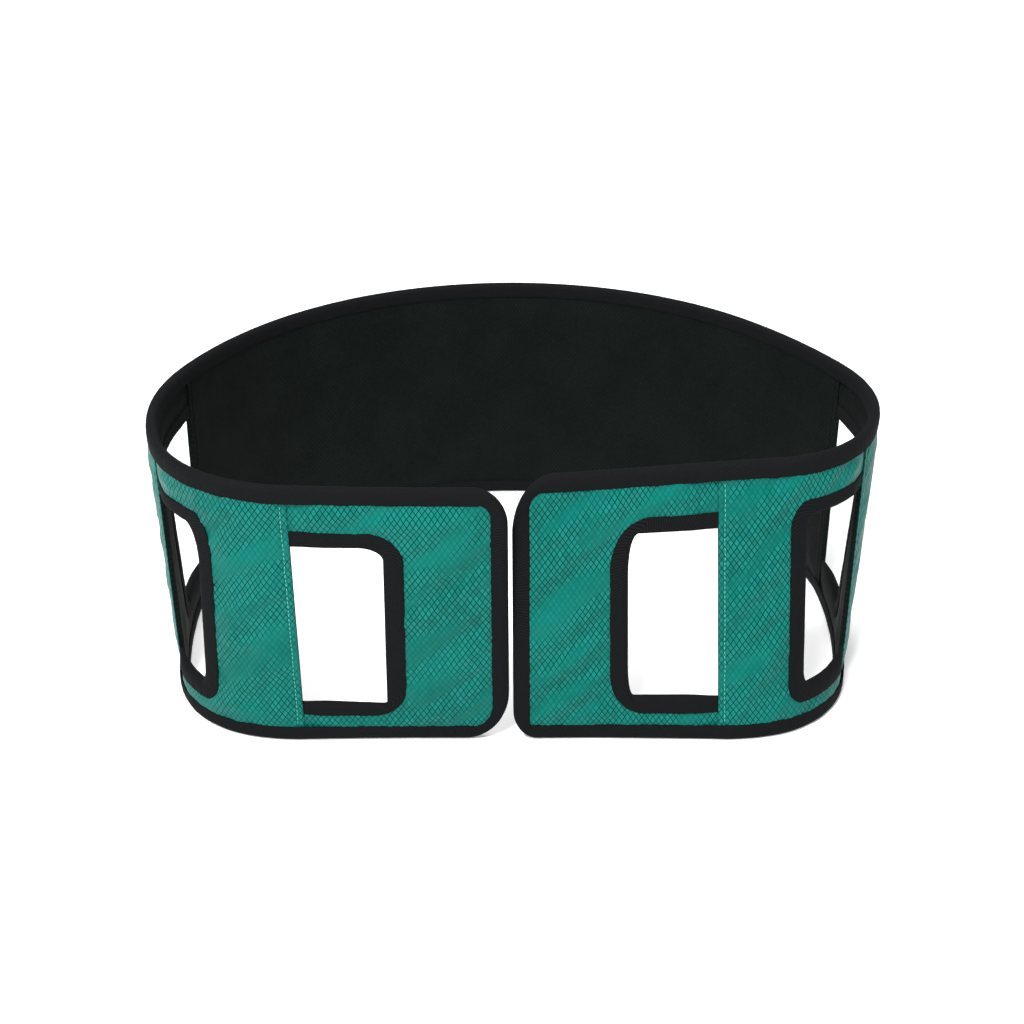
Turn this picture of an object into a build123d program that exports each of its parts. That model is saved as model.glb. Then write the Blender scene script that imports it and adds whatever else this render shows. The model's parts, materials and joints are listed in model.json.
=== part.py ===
from build123d import *
import math
import os

# Padded gait belt with hand-holes, standing on its long edge in a closed loop.
# Millimetres, +Z up, front towards -Y. The origin is at floor level, at the centre of the belt's box.
#
# The belt is one curved wall. Its middle surface is ruled between a plan curve on the floor and a
# plan curve at the top edge. Each plan curve starts at the centre of the back and is a chain of
# tangent arcs, one per stretch of the belt. A place along the belt is a number u: its whole part
# counts the stretches and its fraction is the way along the stretch. An offset d is measured
# outwards from the middle surface, and z is the height.

# Overall size
BELT_HEIGHT = 200.0
CENTRE_X = 2.15
CENTRE_Y = 184.5

# Stretches of one side, from the back centre to the front end: (length, turn in degrees)
# back middle, back outer, side panel, corner, front, end flap
BOTTOM_DEPTH = 364.0
BOTTOM = [(225, 43), (109, 43), (122, 16.5), (86, 62.5), (40, 17), (144, -3)]
TOP_DEPTH = 366.5
TOP_LEFT = [(215, 48), (107, 22), (120, 43), (85, 44), (40, 20), (143, 4)]
TOP_RIGHT = [(213, 48), (106, 16), (114, 58), (82, 52), (40, -3), (137, 1)]

# Seams, where the belt folds, and the front end, as places along the belt
SIDE_SEAM = 2
MIDDLE_SEAM = 3
END_SEAM = 5
FLAP_END = 6
END_X = {"left": -3.3, "right": 0.3}

# Layers, as offsets from the middle surface
SHELL = (2.6, 3.2)
PAD = (-2.35, 2.55)
LINING = (-3.0, -2.4)
BINDING_OUTSIDE = 4.0
BINDING_INSIDE = 3.3
TAPE = 0.8
WEB_HALF = 0.8
BINDING_WIDTH = 10.5

# Clearances from a seam's fold line
FOLD_GAP = 0.8
BINDING_GAP = 3.6
SKIN_GAP = 3.8
PAD_GAP = 4.6
HEM_WIDTH = 6.0
HEM_GAP = 0.1
STITCH_LINE = 5.0
THREAD = 0.5

# Hand-holes, by side and seam: (length along the belt, height of the bottom, height of the top)
HOLES = {
    ("left", SIDE_SEAM): (64.0, 33.0, 158.0),
    ("left", MIDDLE_SEAM): (58.0, 33.0, 159.0),
    ("left", END_SEAM): (61.0, 30.0, 155.5),
    ("right", SIDE_SEAM): (64.0, 33.0, 157.0),
    ("right", MIDDLE_SEAM): (63.0, 33.0, 159.0),
    ("right", END_SEAM): (63.5, 32.5, 154.5),
}
HOLE_TOP_RADIUS = 16.0
HOLE_BOTTOM_RADIUS = 7.0

# Rounded front corners of the end flaps
CORNER_TOP = {"left": 20.0, "right": 25.0}
CORNER_BOTTOM = {"left": 27.0, "right": 14.0}

# How far a cutting bar reaches on each side of the wall, how far the end flaps' wall runs on
# before it is cut, as a share of its stretch, and the sag under which an arc is drawn as a line
REACH = 40.0
FLAP_SPARE = 0.05
STRAIGHT = 0.01

SIDES = ("left", "right")


def plan_curve(side, top):
    """Depth and stretches of a side's plan curve, on the floor or at the top edge."""
    if not top:
        return BOTTOM_DEPTH, BOTTOM
    return TOP_DEPTH, TOP_LEFT if side == "left" else TOP_RIGHT


def follow(x, y, heading, length, turn):
    """End of an arc that turns clockwise, and its heading there."""
    after = heading - turn
    radius = length / turn
    x = x - radius * (math.sin(after) - math.sin(heading))
    y = y + radius * (math.cos(after) - math.cos(heading))
    return x, y, after


def plan_point(side, top, u):
    """Point and direction on a plan curve, for the right side."""
    depth, stretches = plan_curve(side, top)
    x, y, heading = 0.0, depth, 0.0
    last = min(int(u), len(stretches) - 1)
    for length, turn in stretches[:last]:
        x, y, heading = follow(x, y, heading, length, math.radians(turn))
    length, turn = stretches[last]
    share = u - last
    if abs(share) > 1e-9:
        x, y, heading = follow(x, y, heading, length * share, math.radians(turn) * share)
    return x, y, heading


def wall_frame(side, u, z):
    """Point, direction along the belt and outward normal at place u and height z."""
    share = z / BELT_HEIGHT
    low = plan_point(side, False, u)
    high = plan_point(side, True, u)
    x = low[0] + share * (high[0] - low[0])
    y = low[1] + share * (high[1] - low[1])
    along_x = (1 - share) * math.cos(low[2]) + share * math.cos(high[2])
    along_y = (1 - share) * math.sin(low[2]) + share * math.sin(high[2])
    size = math.hypot(along_x, along_y)
    along_x, along_y = along_x / size, along_y / size
    mirror = -1 if side == "left" else 1
    point = Vector(mirror * x - CENTRE_X, y - CENTRE_Y, z)
    along = Vector(mirror * along_x, along_y, 0)
    outward = Vector(mirror * -along_y, along_x, 0)
    return point, along, outward


def wall_point(side, u, z, d):
    """Point at place u, height z and offset d."""
    point, _, outward = wall_frame(side, u, z)
    return point + outward * d


def past(seam, distance):
    """Place that lies a distance past a seam, towards the front end. It may be negative."""
    stretch = seam if distance > 0 else seam - 1
    return seam + distance / BOTTOM[stretch][0]


def arc_or_line(a, middle, b):
    """Edge through three points: an arc, or a line where they are straight."""
    chord = b - a
    sag = chord.cross(middle - a).length / chord.length
    if sag < STRAIGHT:
        return Line(a, b)
    return ThreePointArc(a, middle, b)


def outline(runs, z, inner, outer):
    """Plan outline of the wall at height z. Each run is (side, from, to), in order along the belt."""
    edges = []
    for side, start, end in runs:
        points = [wall_point(side, u, z, outer) for u in (start, (start + end) / 2, end)]
        edges.append(arc_or_line(*points))
    side, _, end = runs[-1]
    edges.append(Line(wall_point(side, end, z, outer), wall_point(side, end, z, inner)))
    for side, start, end in reversed(runs):
        points = [wall_point(side, u, z, inner) for u in (end, (start + end) / 2, start)]
        edges.append(arc_or_line(*points))
    side, start, _ = runs[0]
    edges.append(Line(wall_point(side, start, z, inner), wall_point(side, start, z, outer)))
    return make_face(edges)


def stretch_runs(side, start, end):
    """Runs of one side from place start to place end, split at the stretches."""
    stops = [start] + [k for k in range(FLAP_END) if start < k < end] + [end]
    return [(side, a, b) for a, b in zip(stops, stops[1:])]


def back_runs(reach):
    """Runs of the back panel, which spans both sides, out to place reach on each."""
    left = [(side, b, a) for side, a, b in reversed(stretch_runs("left", 0, reach))]
    return left + stretch_runs("right", 0, reach)


def wall(runs, low, high, inner, outer):
    """Solid piece of wall over the runs, between two heights and two offsets."""
    faces = [outline(runs, z, inner, outer) for z in (low, high)]
    return loft(sections=faces, ruled=True)


def edge_binding(runs, wider, top):
    """Tape folded round the belt's top or bottom edge, as a channel."""
    if top:
        low, high = BELT_HEIGHT - BINDING_WIDTH, BELT_HEIGHT
        cut_low, cut_high = low - 1, BELT_HEIGHT - TAPE
    else:
        low, high = 0.0, BINDING_WIDTH
        cut_low, cut_high = TAPE, high + 1
    tape = wall(runs, low, high, -BINDING_OUTSIDE, BINDING_OUTSIDE)
    return tape - wall(wider, cut_low, cut_high, -BINDING_INSIDE, BINDING_INSIDE)


def outward_plane(side, u, z):
    """Plane that faces out of the wall at place u and height z, with its Y up."""
    point, along, outward = wall_frame(side, u, z)
    return Plane(origin=point, x_dir=along if side == "left" else -along, z_dir=outward)


def rounded_prism(plane, seam_x, front_x, low, high, low_radius, high_radius):
    """Bar through the wall whose outline is square at the seam and rounded towards the front."""
    toward = math.copysign(1, front_x - seam_x)
    low_turn = front_x - toward * low_radius
    high_turn = front_x - toward * high_radius
    edges = [
        Line((seam_x, low), (low_turn, low)),
        TangentArc((low_turn, low), (front_x, low + low_radius), tangent=(toward, 0)),
        Line((front_x, low + low_radius), (front_x, high - high_radius)),
        TangentArc((front_x, high - high_radius), (high_turn, high), tangent=(0, 1)),
        Line((high_turn, high), (seam_x, high)),
        Line((seam_x, high), (seam_x, low)),
    ]
    return extrude(plane * make_face(edges), amount=REACH, both=True)


def hole_prism(side, seam, margin):
    """Bar through a hand-hole, larger than the hole by a margin all round."""
    length, bottom, top = HOLES[side, seam]
    height = (bottom + top) / 2
    plane = outward_plane(side, past(seam, length / 2), height)
    front_x = plane.to_local_coords(wall_point(side, past(seam, length), height, 0)).X
    toward = math.copysign(1, front_x)
    half = (top - bottom) / 2 + margin
    return rounded_prism(
        plane,
        -front_x - toward * HEM_WIDTH,
        front_x + toward * margin,
        -half,
        half,
        HOLE_BOTTOM_RADIUS + margin,
        HOLE_TOP_RADIUS + margin,
    )


def hole_binding(side, seam, runs, wider):
    """Tape round the three cut sides of a hand-hole, as a channel."""
    tape = wall(runs, 0, BELT_HEIGHT, -BINDING_OUTSIDE, BINDING_OUTSIDE)
    tape = tape & (hole_prism(side, seam, BINDING_WIDTH) - hole_prism(side, seam, 0))
    inside = wall(wider, 0, BELT_HEIGHT, -BINDING_INSIDE, BINDING_INSIDE)
    return tape - (inside - hole_prism(side, seam, TAPE))


def flap_prism(side, margin):
    """Bar whose outline is the end flap's, smaller than the flap by a margin."""
    plane = outward_plane(side, (END_SEAM + FLAP_END) / 2, 0)
    end = wall_point(side, FLAP_END, BELT_HEIGHT / 2, 0)
    front_x = plane.to_local_coords(Vector(END_X[side] - CENTRE_X, end.Y, end.Z)).X
    toward = math.copysign(1, front_x)
    return rounded_prism(
        plane,
        -front_x - toward * REACH,
        front_x - toward * margin,
        margin,
        BELT_HEIGHT - margin,
        CORNER_BOTTOM[side] - margin,
        CORNER_TOP[side] - margin,
    )


def pad_tongues(side, seam, margin):
    """Padding sewn flat above and below a hand-hole, out to the fold line."""
    runs = [(side, past(seam, FOLD_GAP), past(seam, PAD_GAP + 1))]
    web = wall(runs, TAPE, BELT_HEIGHT - TAPE, -WEB_HALF, WEB_HALF)
    return web - hole_prism(side, seam, margin)


def hem(side, seam):
    """Folded edge of the panel behind a seam, which closes the hand-hole's straight side."""
    runs = [(side, past(seam, -HEM_WIDTH), past(seam, -FOLD_GAP))]
    return wall(runs, TAPE, BELT_HEIGHT - TAPE, -WEB_HALF, WEB_HALF)


def hem_thread(side, seam):
    """Topstitching down the hem, from the bottom binding to the top binding, as a straight bar."""
    u = past(seam, -STITCH_LINE)
    d = WEB_HALF + HEM_GAP + THREAD / 2
    low = wall_point(side, u, BINDING_WIDTH + HEM_WIDTH, d)
    high = wall_point(side, u, BELT_HEIGHT - BINDING_WIDTH - HEM_WIDTH, d)
    _, along, _ = wall_frame(side, u, BELT_HEIGHT / 2)
    section = Plane(origin=low, x_dir=along, z_dir=high - low) * Rectangle(THREAD, THREAD)
    return extrude(section, amount=(high - low).length)


def back_panel():
    """Pieces of the one long back panel, with a hem at each of its ends."""
    skin = back_runs(past(SIDE_SEAM, -HEM_WIDTH - HEM_GAP))
    tape = back_runs(past(SIDE_SEAM, -BINDING_GAP))
    wider = back_runs(past(SIDE_SEAM, -BINDING_GAP / 2))
    low, high = TAPE + HEM_GAP, BELT_HEIGHT - TAPE - HEM_GAP
    return {
        "back_shell": wall(skin, low, high, *SHELL),
        "back_pad": wall(skin, low, high, *PAD),
        "back_lining": wall(skin, low, high, *LINING),
        "back_top_binding": edge_binding(tape, wider, True),
        "back_bottom_binding": edge_binding(tape, wider, False),
        "back_left_hem": hem("left", SIDE_SEAM),
        "back_right_hem": hem("right", SIDE_SEAM),
        "back_left_hem_thread": hem_thread("left", SIDE_SEAM),
        "back_right_hem_thread": hem_thread("right", SIDE_SEAM),
    }


def holed_layers(side, seam, end, flap):
    """Shell, pad and lining of a panel that starts at a seam with a hand-hole."""
    low, high = TAPE + HEM_GAP, BELT_HEIGHT - TAPE - HEM_GAP
    margin = TAPE + HEM_GAP
    skin = stretch_runs(side, past(seam, SKIN_GAP), end)
    pad = stretch_runs(side, past(seam, PAD_GAP), end)
    hole = hole_prism(side, seam, margin)
    layers = [wall(skin, low, high, *SHELL), wall(pad, low, high, *PAD)]
    layers.append(wall(skin, low, high, *LINING))
    layers = [layer - hole for layer in layers]
    if flap:
        layers = [layer & flap_prism(side, margin) for layer in layers]
    layers[1] = layers[1] + pad_tongues(side, seam, margin)
    return layers


def holed_panel(side, name, seam, next_seam):
    """Pieces of a panel between two seams: a hand-hole behind, a hem in front."""
    end = past(next_seam, -HEM_WIDTH - HEM_GAP)
    shell, pad, lining = holed_layers(side, seam, end, False)
    tape = stretch_runs(side, past(seam, BINDING_GAP), past(next_seam, -BINDING_GAP))
    wider = stretch_runs(side, past(seam, BINDING_GAP / 2), past(next_seam, -BINDING_GAP / 2))
    return {
        f"{side}_{name}_shell": shell,
        f"{side}_{name}_pad": pad,
        f"{side}_{name}_lining": lining,
        f"{side}_{name}_top_binding": edge_binding(tape, wider, True),
        f"{side}_{name}_bottom_binding": edge_binding(tape, wider, False),
        f"{side}_{name}_hole_binding": hole_binding(side, seam, tape, wider),
        f"{side}_{name}_hem": hem(side, next_seam),
        f"{side}_{name}_hem_thread": hem_thread(side, next_seam),
    }


def end_flap(side):
    """Pieces of an end flap: a hand-hole at its seam and rounded corners at its free end."""
    uncut = FLAP_END + FLAP_SPARE
    shell, pad, lining = holed_layers(side, END_SEAM, uncut, True)
    tape = [(side, past(END_SEAM, BINDING_GAP), uncut)]
    wider = [(side, past(END_SEAM, BINDING_GAP / 2), uncut + FLAP_SPARE)]
    edge = wall(tape, 0, BELT_HEIGHT, -BINDING_OUTSIDE, BINDING_OUTSIDE)
    edge = edge & (flap_prism(side, 0) - flap_prism(side, BINDING_WIDTH))
    inside = wall(wider, 0, BELT_HEIGHT, -BINDING_INSIDE, BINDING_INSIDE)
    return {
        f"{side}_end_shell": shell,
        f"{side}_end_pad": pad,
        f"{side}_end_lining": lining,
        f"{side}_end_edge_binding": edge - (inside & flap_prism(side, TAPE)),
        f"{side}_end_hole_binding": hole_binding(side, END_SEAM, tape, wider),
    }


def belt():
    """Every piece of the belt by name."""
    pieces = back_panel()
    for side in SIDES:
        pieces.update(holed_panel(side, "side", SIDE_SEAM, MIDDLE_SEAM))
        pieces.update(holed_panel(side, "middle", MIDDLE_SEAM, END_SEAM))
        pieces.update(end_flap(side))
    return pieces


os.makedirs("parts", exist_ok=True)
for name, piece in belt().items():
    export_step(piece, f"parts/{name}.step")
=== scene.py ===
import json
import math
from collections import namedtuple

import bpy
import numpy as np
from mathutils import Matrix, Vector


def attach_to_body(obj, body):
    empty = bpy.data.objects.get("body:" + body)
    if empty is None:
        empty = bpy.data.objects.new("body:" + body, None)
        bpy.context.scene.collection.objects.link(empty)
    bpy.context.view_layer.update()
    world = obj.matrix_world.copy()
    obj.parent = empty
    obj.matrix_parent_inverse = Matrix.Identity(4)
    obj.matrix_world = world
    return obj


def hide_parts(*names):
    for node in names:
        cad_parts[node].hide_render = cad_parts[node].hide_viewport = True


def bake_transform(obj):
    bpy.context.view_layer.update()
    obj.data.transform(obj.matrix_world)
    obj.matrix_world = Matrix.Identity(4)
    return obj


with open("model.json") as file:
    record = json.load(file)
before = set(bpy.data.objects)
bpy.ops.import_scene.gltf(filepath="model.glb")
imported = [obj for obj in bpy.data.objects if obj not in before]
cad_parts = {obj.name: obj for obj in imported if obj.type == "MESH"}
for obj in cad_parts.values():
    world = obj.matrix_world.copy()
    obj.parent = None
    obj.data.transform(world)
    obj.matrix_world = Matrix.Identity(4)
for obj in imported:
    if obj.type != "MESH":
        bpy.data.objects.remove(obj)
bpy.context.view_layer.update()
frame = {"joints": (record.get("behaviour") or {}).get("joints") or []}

# The belt is one curved wall, ruled between a plan curve on the floor and a plan curve at its top
# edge. A place on it is (q, z, d): q is the distance along the belt from the centre of the back,
# negative on the left side, z is the height, and d is the offset outwards from the middle of the
# wall. These are millimetres; wall() turns them into metres in the frame of the model.
MM = 0.001
HEIGHT = 200.0
CENTRE = (2.15, 184.5)
FLOOR_CURVE = (364.0, [(225, 43), (109, 43), (122, 16.5), (86, 62.5), (40, 17), (144, -3)])
LEFT_CURVE = (366.5, [(215, 48), (107, 22), (120, 43), (85, 44), (40, 20), (143, 4)])
RIGHT_CURVE = (366.5, [(213, 48), (106, 16), (114, 58), (82, 52), (40, -3), (137, 1)])
PLACES = np.concatenate([[0.0], np.cumsum([length for length, _ in FLOOR_CURVE[1]])])

# Seams, where the belt folds, and the free ends, by distance from the centre of the back
SIDE_SEAM, MIDDLE_SEAM, END_SEAM = PLACES[2], PLACES[3], PLACES[5]
FLAP_END = {"left": 725.4, "right": 726.2}

# Rounded corners of the free ends, as a radius along the belt and one up it: the edge of the
# belt, then the inner edge of its tape
Corner = namedtuple("Corner", "edge inner")
CORNER_TOP = {"left": Corner((23.5, 28), (7.5, 8)), "right": Corner((30, 42), (9, 11))}
CORNER_BOTTOM = {"left": Corner((31, 40), (12, 19)), "right": Corner((17, 22), (2.5, 3))}

# Hand-holes, which start at a seam: their heights, length and front corners, how far the bottom
# edge drops and the front edge leans back on the way down, the widths of tape above, in front
# and below, and the far corners of the tape
Hole = namedtuple("Hole", "low high length top bottom drop lean tape far_top far_bottom")
HOLES = {
    "left_side": Hole(33, 158, 64, (8, 22), (5, 12), 0, 0, (12, 13, 12), (18, 26), (14, 20)),
    "left_middle": Hole(33, 159, 58, (12, 30), (6, 14), 0, 6, (12, 13.5, 12), (16, 34), (15, 22)),
    "left_end": Hole(30.1, 155.5, 61, (16, 10), (1.5, 2), 3.4, 2.5, (12, 14, 9), (25, 24), (23, 22)),
    "right_side": Hole(33, 157, 64, (8, 22), (5, 12), 0, 0, (12, 13, 12), (18, 26), (14, 20)),
    "right_middle": Hole(33, 159, 63, (5, 12), (6, 12), 0, 0, (11.5, 13.5, 12), (15, 22), (12, 16)),
    "right_end": Hole(32.5, 154.5, 63.5, (6.5, 30), (4, 24), 0, 0, (12, 13, 12), (28, 36), (24, 30)),
}

# The quilted wall: thickness of its cloth and the gap to the padding, and half its own thickness
# under the tape and, PUFF_REACH further in, at its crown
CLOTH = 0.5
GAP = 0.05
UNDER_TAPE = 2.9
CROWN = 4.6
PUFF_REACH = 16.0

# Binding tape: its width on the belt's edge and round a hand-hole, half its thickness, and how
# far inside its fold the cloth is cut off
TAPE_WIDTH = 11.6
HOLE_TAPE_WIDTH = 13.0
TAPE_HALF = 3.9
TRIM = 3.0

# Hems at the seams: half their thickness, and where the shell and the lining end at the fold.
# The shell ends HEM_RIM outside the middle of the wall. The lining ends HEM_UNDER outside it
# beside a hand-hole and HEM_LAP inside it elsewhere, HEM_LIP further out than the shell, so that
# its black edge shows at the fold as a dark line, a painted shadow of the fold. The padding stops
# PAD_BACK short of the fold, which turns over HEM_ROUND.
HEM_HALF = 2.3
HEM_RIM = 1.9
HEM_UNDER = 1.25
HEM_LAP = 1.7
HEM_LIP = 0.4
PAD_BACK = 3.0
HEM_ROUND = 1.5
STITCH_LINE = 4.3

# A panel's cloth starts TUCK behind its seam, under the hem, where half the thickness is TUCKED,
# or TAPE_TUCKED for the tape of a hand-hole. It is full TAPE_RISE past the seam. The tape on the
# belt's edge is cut TAPE_OVERRUN behind each seam. The cloth simulation holds a hand-hole panel's
# cloth up to BEND_END past its seam.
TUCK = 4.0
TUCKED = 0.9
TAPE_TUCKED = 1.45
TAPE_OVERRUN = 12.0
TAPE_RISE = 22.0
BEND_START, BEND_END = -1.0, 9.0

# Topstitching
STITCH_PITCH, STITCH_LENGTH, STITCH_RADIUS = 3.4, 2.7, 0.27

# Creases: how deep they are, how they lean in degrees, and how strong they are on each panel.
# The flaps are creased most, by their ends.
SHELL_CREASE = 0.8
LINING_CREASE = 0.5
CREASE_LEAN = 36.0
LEAN_COS, LEAN_SIN = math.cos(math.radians(CREASE_LEAN)), math.sin(math.radians(CREASE_LEAN))
LIVELINESS = {"back": 0.6, "side": 0.35, "middle": 1.0, "end": 1.35}

# Kinds of crease, by their size along and across the lean and their share of the depth. They bow
# by up to CREASE_BOW over BOW_SIZE, and fade out over CALM from tape and hems.
Crease = namedtuple("Crease", "along across share")
BROAD, SHARP, CROSS = Crease(62, 17, 0.75), Crease(48, 11, 0.4), Crease(15, 40, 0.3)
CREASE_BOW, BOW_SIZE = 9, 55
CALM = 14

# Puckers beside the sewn tape and beside the topstitching: how far from the sewing they are
# deepest, how wide the row of them is, and their share of the depth
Pucker = namedtuple("Pucker", "away width share")
TAPE_PUCKER, STITCH_PUCKER = Pucker(2.5, 4.0, 0.28), Pucker(2.5, 3.0, 0.22)
PUCKER_SIZE, STITCH_PUCKER_SIZE = 4.2, 3.6
GROOVE_DEPTH, GROOVE_WIDTH = 0.75, 0.8

# Cloth simulation, which runs on an enlarged copy: the cloth is drawn home by HOME_FRAME, it is
# held up to a little past its sewing, the spare cloth is a share of its length, and no point
# moves further than the most
SIM_SCALE = 10.0
SIM_FRAMES = 28
HOME_FRAME = 9
SEWN_BY_TAPE, SEWN_BY_STITCH = 0.5, 1.2
SPARE_CLOTH = 0.02
MOST_MOVE = 1.2

# Unevenness of the tape, as (amount, size): its far edge wavers, and its thickness swells
EDGE_WAVER = ((0.3, 8), (0.35, 1.3))
TAPE_SWELL = ((0.035, 12), (0.03, 3.5))

# Spacing of the points of the cloth and of the tape, and of a line that distances are taken to
GRID = 2.5
TAPE_STEP = 1.2
NEAR_STEP = 0.8

# Strength of the sky overhead, where the horizon has 1, and the floor, in metres, which glows
# from GLOW_START to GLOW_FULL
SKY = 0.14
FLOOR_RADIUS, FLOOR_DROP, FLOOR_SIDES = 6, 0.0004, 64
GLOW_START, GLOW_FULL, GLOW_LEAST = 0.4, 1.6, 0.25

Panel = namedtuple("Panel", "name number body parent side start end holed flap")


def all_panels():
    """The seven panels of the belt, from the back outwards."""
    panels = [Panel("back", 0, "back", None, "right", -SIDE_SEAM, SIDE_SEAM, False, False)]
    for side in ("left", "right"):
        names = ["back", f"{side}_side", f"{side}_middle", f"{side}_end"]
        stops = [SIDE_SEAM, MIDDLE_SEAM, END_SEAM, FLAP_END[side]]
        for k in (1, 2, 3):
            stretch = stops[k - 1], stops[k]
            number = len(panels)
            panels.append(Panel(names[k], number, names[k], names[k - 1], side, *stretch, True, k == 3))
    return panels


# ---------------------------------------------------------------- the wall


def smooth(t):
    """Rises smoothly from 0 to 1 as t does."""
    t = np.clip(t, 0.0, 1.0)
    return t * t * (3 - 2 * t)


def plan_curve(curve, place):
    """Points and headings on a plan curve, for the right side, at an array of places."""
    depth, stretches = curve
    lengths = np.array([length for length, _ in stretches], float)
    turns = np.radians([turn for _, turn in stretches])
    headings = -np.concatenate([[0.0], np.cumsum(turns)])
    radii = lengths / turns
    xs = np.concatenate([[0.0], np.cumsum(-radii * np.diff(np.sin(headings)))])
    ys = depth + np.concatenate([[0.0], np.cumsum(radii * np.diff(np.cos(headings)))])
    k = np.clip(np.floor(place).astype(int), 0, len(stretches) - 1)
    after = headings[k] - turns[k] * (place - k)
    x = xs[k] - radii[k] * (np.sin(after) - np.sin(headings[k]))
    y = ys[k] + radii[k] * (np.cos(after) - np.cos(headings[k]))
    return x, y, after


def place_of(q):
    """Place along the stretches at a distance along the belt."""
    s = np.abs(q)
    last = len(PLACES) - 1
    beyond = np.maximum(s - PLACES[-1], 0) / (PLACES[-1] - PLACES[-2])
    return np.interp(s, PLACES, np.arange(last + 1)) + beyond


def wall_axes(q, z):
    """Points on the middle of the wall, directions towards the free end and outward normals."""
    q, z = np.broadcast_arrays(np.asarray(q, float), np.asarray(z, float))
    place = place_of(q)
    low = plan_curve(FLOOR_CURVE, place)
    left, right = plan_curve(LEFT_CURVE, place), plan_curve(RIGHT_CURVE, place)
    high = [np.where(q < 0, a, b) for a, b in zip(left, right)]
    share = z / HEIGHT
    mirror = np.where(q < 0, -1.0, 1.0)
    x = mirror * (low[0] + share * (high[0] - low[0])) - CENTRE[0]
    y = low[1] + share * (high[1] - low[1]) - CENTRE[1]
    along_x = (1 - share) * np.cos(low[2]) + share * np.cos(high[2])
    along_y = (1 - share) * np.sin(low[2]) + share * np.sin(high[2])
    size = np.hypot(along_x, along_y)
    along_x, along_y = along_x / size, along_y / size
    flat = np.zeros_like(x)
    point = np.stack([x, y, z], -1)
    along = np.stack([mirror * along_x, along_y, flat], -1)
    outward = np.stack([-mirror * along_y, along_x, flat], -1)
    return point, along, outward


def wall(q, z, d):
    """Points in metres at distance q, height z and offset d."""
    point, _, outward = wall_axes(q, z)
    return (point + outward * np.asarray(d, float)[..., None]) * MM


def signed(panel, s):
    """Distance along the belt from a panel's own distance, which grows towards its free end."""
    return -s if panel.side == "left" else s


# ---------------------------------------------------------------- outlines


def rounded_inside(across, up, reach, half, low, high):
    """Whether points lie inside an outline that is open behind, ends at reach and has its two
    front corners rounded to quarter ellipses."""
    along = np.where(up > 0, high[0], low[0])
    rise = np.where(up > 0, high[1], low[1])
    over = (across - reach + along) / along
    above = (np.abs(up) - half + rise) / rise
    corner = np.hypot(np.maximum(over, 0), np.maximum(above, 0))
    return (across < reach) & (np.abs(up) < half) & (corner < 1)


def nearest(points, s, z):
    """Distance from each place to a line through points."""
    shape = np.broadcast(s, z).shape
    s, z = (np.broadcast_to(a, shape).reshape(-1, 1) for a in (s, z))
    run = travelled(points)
    fine = np.arange(0, run[-1], NEAR_STEP)
    x, y = np.interp(fine, run, points[:, 0]), np.interp(fine, run, points[:, 1])
    return np.hypot(s - x, z - y).min(1).reshape(shape)


def edge_depth(panel, s, z):
    """Distance inwards from the belt's bound edge."""
    if not panel.flap:
        return np.minimum(z, HEIGHT - z) + 0 * s
    half = HEIGHT / 2
    corners = CORNER_BOTTOM[panel.side].edge, CORNER_TOP[panel.side].edge
    inside_edge = rounded_inside(s, z - half, panel.end, half, *corners)
    return np.where(inside_edge, 1, -1) * nearest(flap_edges(panel)[0], s, z)


def hole_distance(panel, s, z):
    """Distance outwards from the rim of the panel's hand-hole."""
    if not panel.holed:
        return np.full(np.broadcast(s, z).shape, HEIGHT)
    hole = HOLES[panel.name]
    middle, half = (hole.low + hole.high) / 2, (hole.high - hole.low) / 2
    reach = panel.start + hole.length
    in_hole = rounded_inside(s, z - middle, reach, half, hole.bottom, hole.top)
    return np.where(in_hole, -1, 1) * nearest(hole_edges(panel)[0], s, z)


def cloth_depth(panel, s, z):
    """Distance into the panel from the nearest bound edge, counted as if all tape were as wide
    as the tape round the belt's edge."""
    wider = HOLE_TAPE_WIDTH - TAPE_WIDTH
    return np.minimum(edge_depth(panel, s, z), hole_distance(panel, s, z) - wider)


def hem_distance(panel, s):
    """Distance from the nearest folded edge in front of the panel."""
    if panel.flap:
        return np.full(np.shape(s), HEIGHT)
    if panel.holed:
        return panel.end - s
    return np.minimum(panel.end - s, s - panel.start)


def beside_hole(panel, s, z):
    """1 where the nearest folded edge has a hand-hole beside it, and 0 above and below the hole."""
    if panel.flap:
        return np.zeros(np.shape(s))
    following = {"back": "side", "side": "middle", "middle": "end"}[kind(panel)]
    spans = []
    for side in ("left", "right"):
        hole = HOLES[f"{side}_{following}"]
        spans.append(smooth(np.minimum(z - hole.low, hole.high - z) / 1.5 + 1))
    if panel.holed:
        return spans[0] if panel.side == "left" else spans[1]
    return np.where(s < 0, *spans)


# ---------------------------------------------------------------- thickness and wrinkles


def soft_noise(x, y, seed):
    """Smooth random field from -1 to 1, with one lattice cell for each unit."""
    size = 64
    lattice = np.random.default_rng(seed).uniform(-1, 1, (size, size))
    xi, yi = np.floor(x).astype(int), np.floor(y).astype(int)
    fx, fy = smooth(x - xi), smooth(y - yi)
    low = lattice[xi % size, yi % size] * (1 - fx) + lattice[(xi + 1) % size, yi % size] * fx
    high = lattice[xi % size, (yi + 1) % size] * (1 - fx)
    high = high + lattice[(xi + 1) % size, (yi + 1) % size] * fx
    return low * (1 - fy) + high * fy


def uneven(x, y, parts, seed):
    """Sum of random fields, each with its own amount and size."""
    fields = [soft_noise(x / size, y / size, seed + k) for k, (_, size) in enumerate(parts)]
    return sum(amount * field for (amount, _), field in zip(parts, fields))


def hem_face(f):
    """Half thickness of a hem at distance f from its fold: flat, with the stitching pulled in."""
    groove = GROOVE_DEPTH * np.exp(-(((f - STITCH_LINE) / GROOVE_WIDTH) ** 2))
    swell = (CROWN - HEM_HALF) * smooth((f - STITCH_LINE) / PUFF_REACH)
    return HEM_HALF - groove + swell


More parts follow.
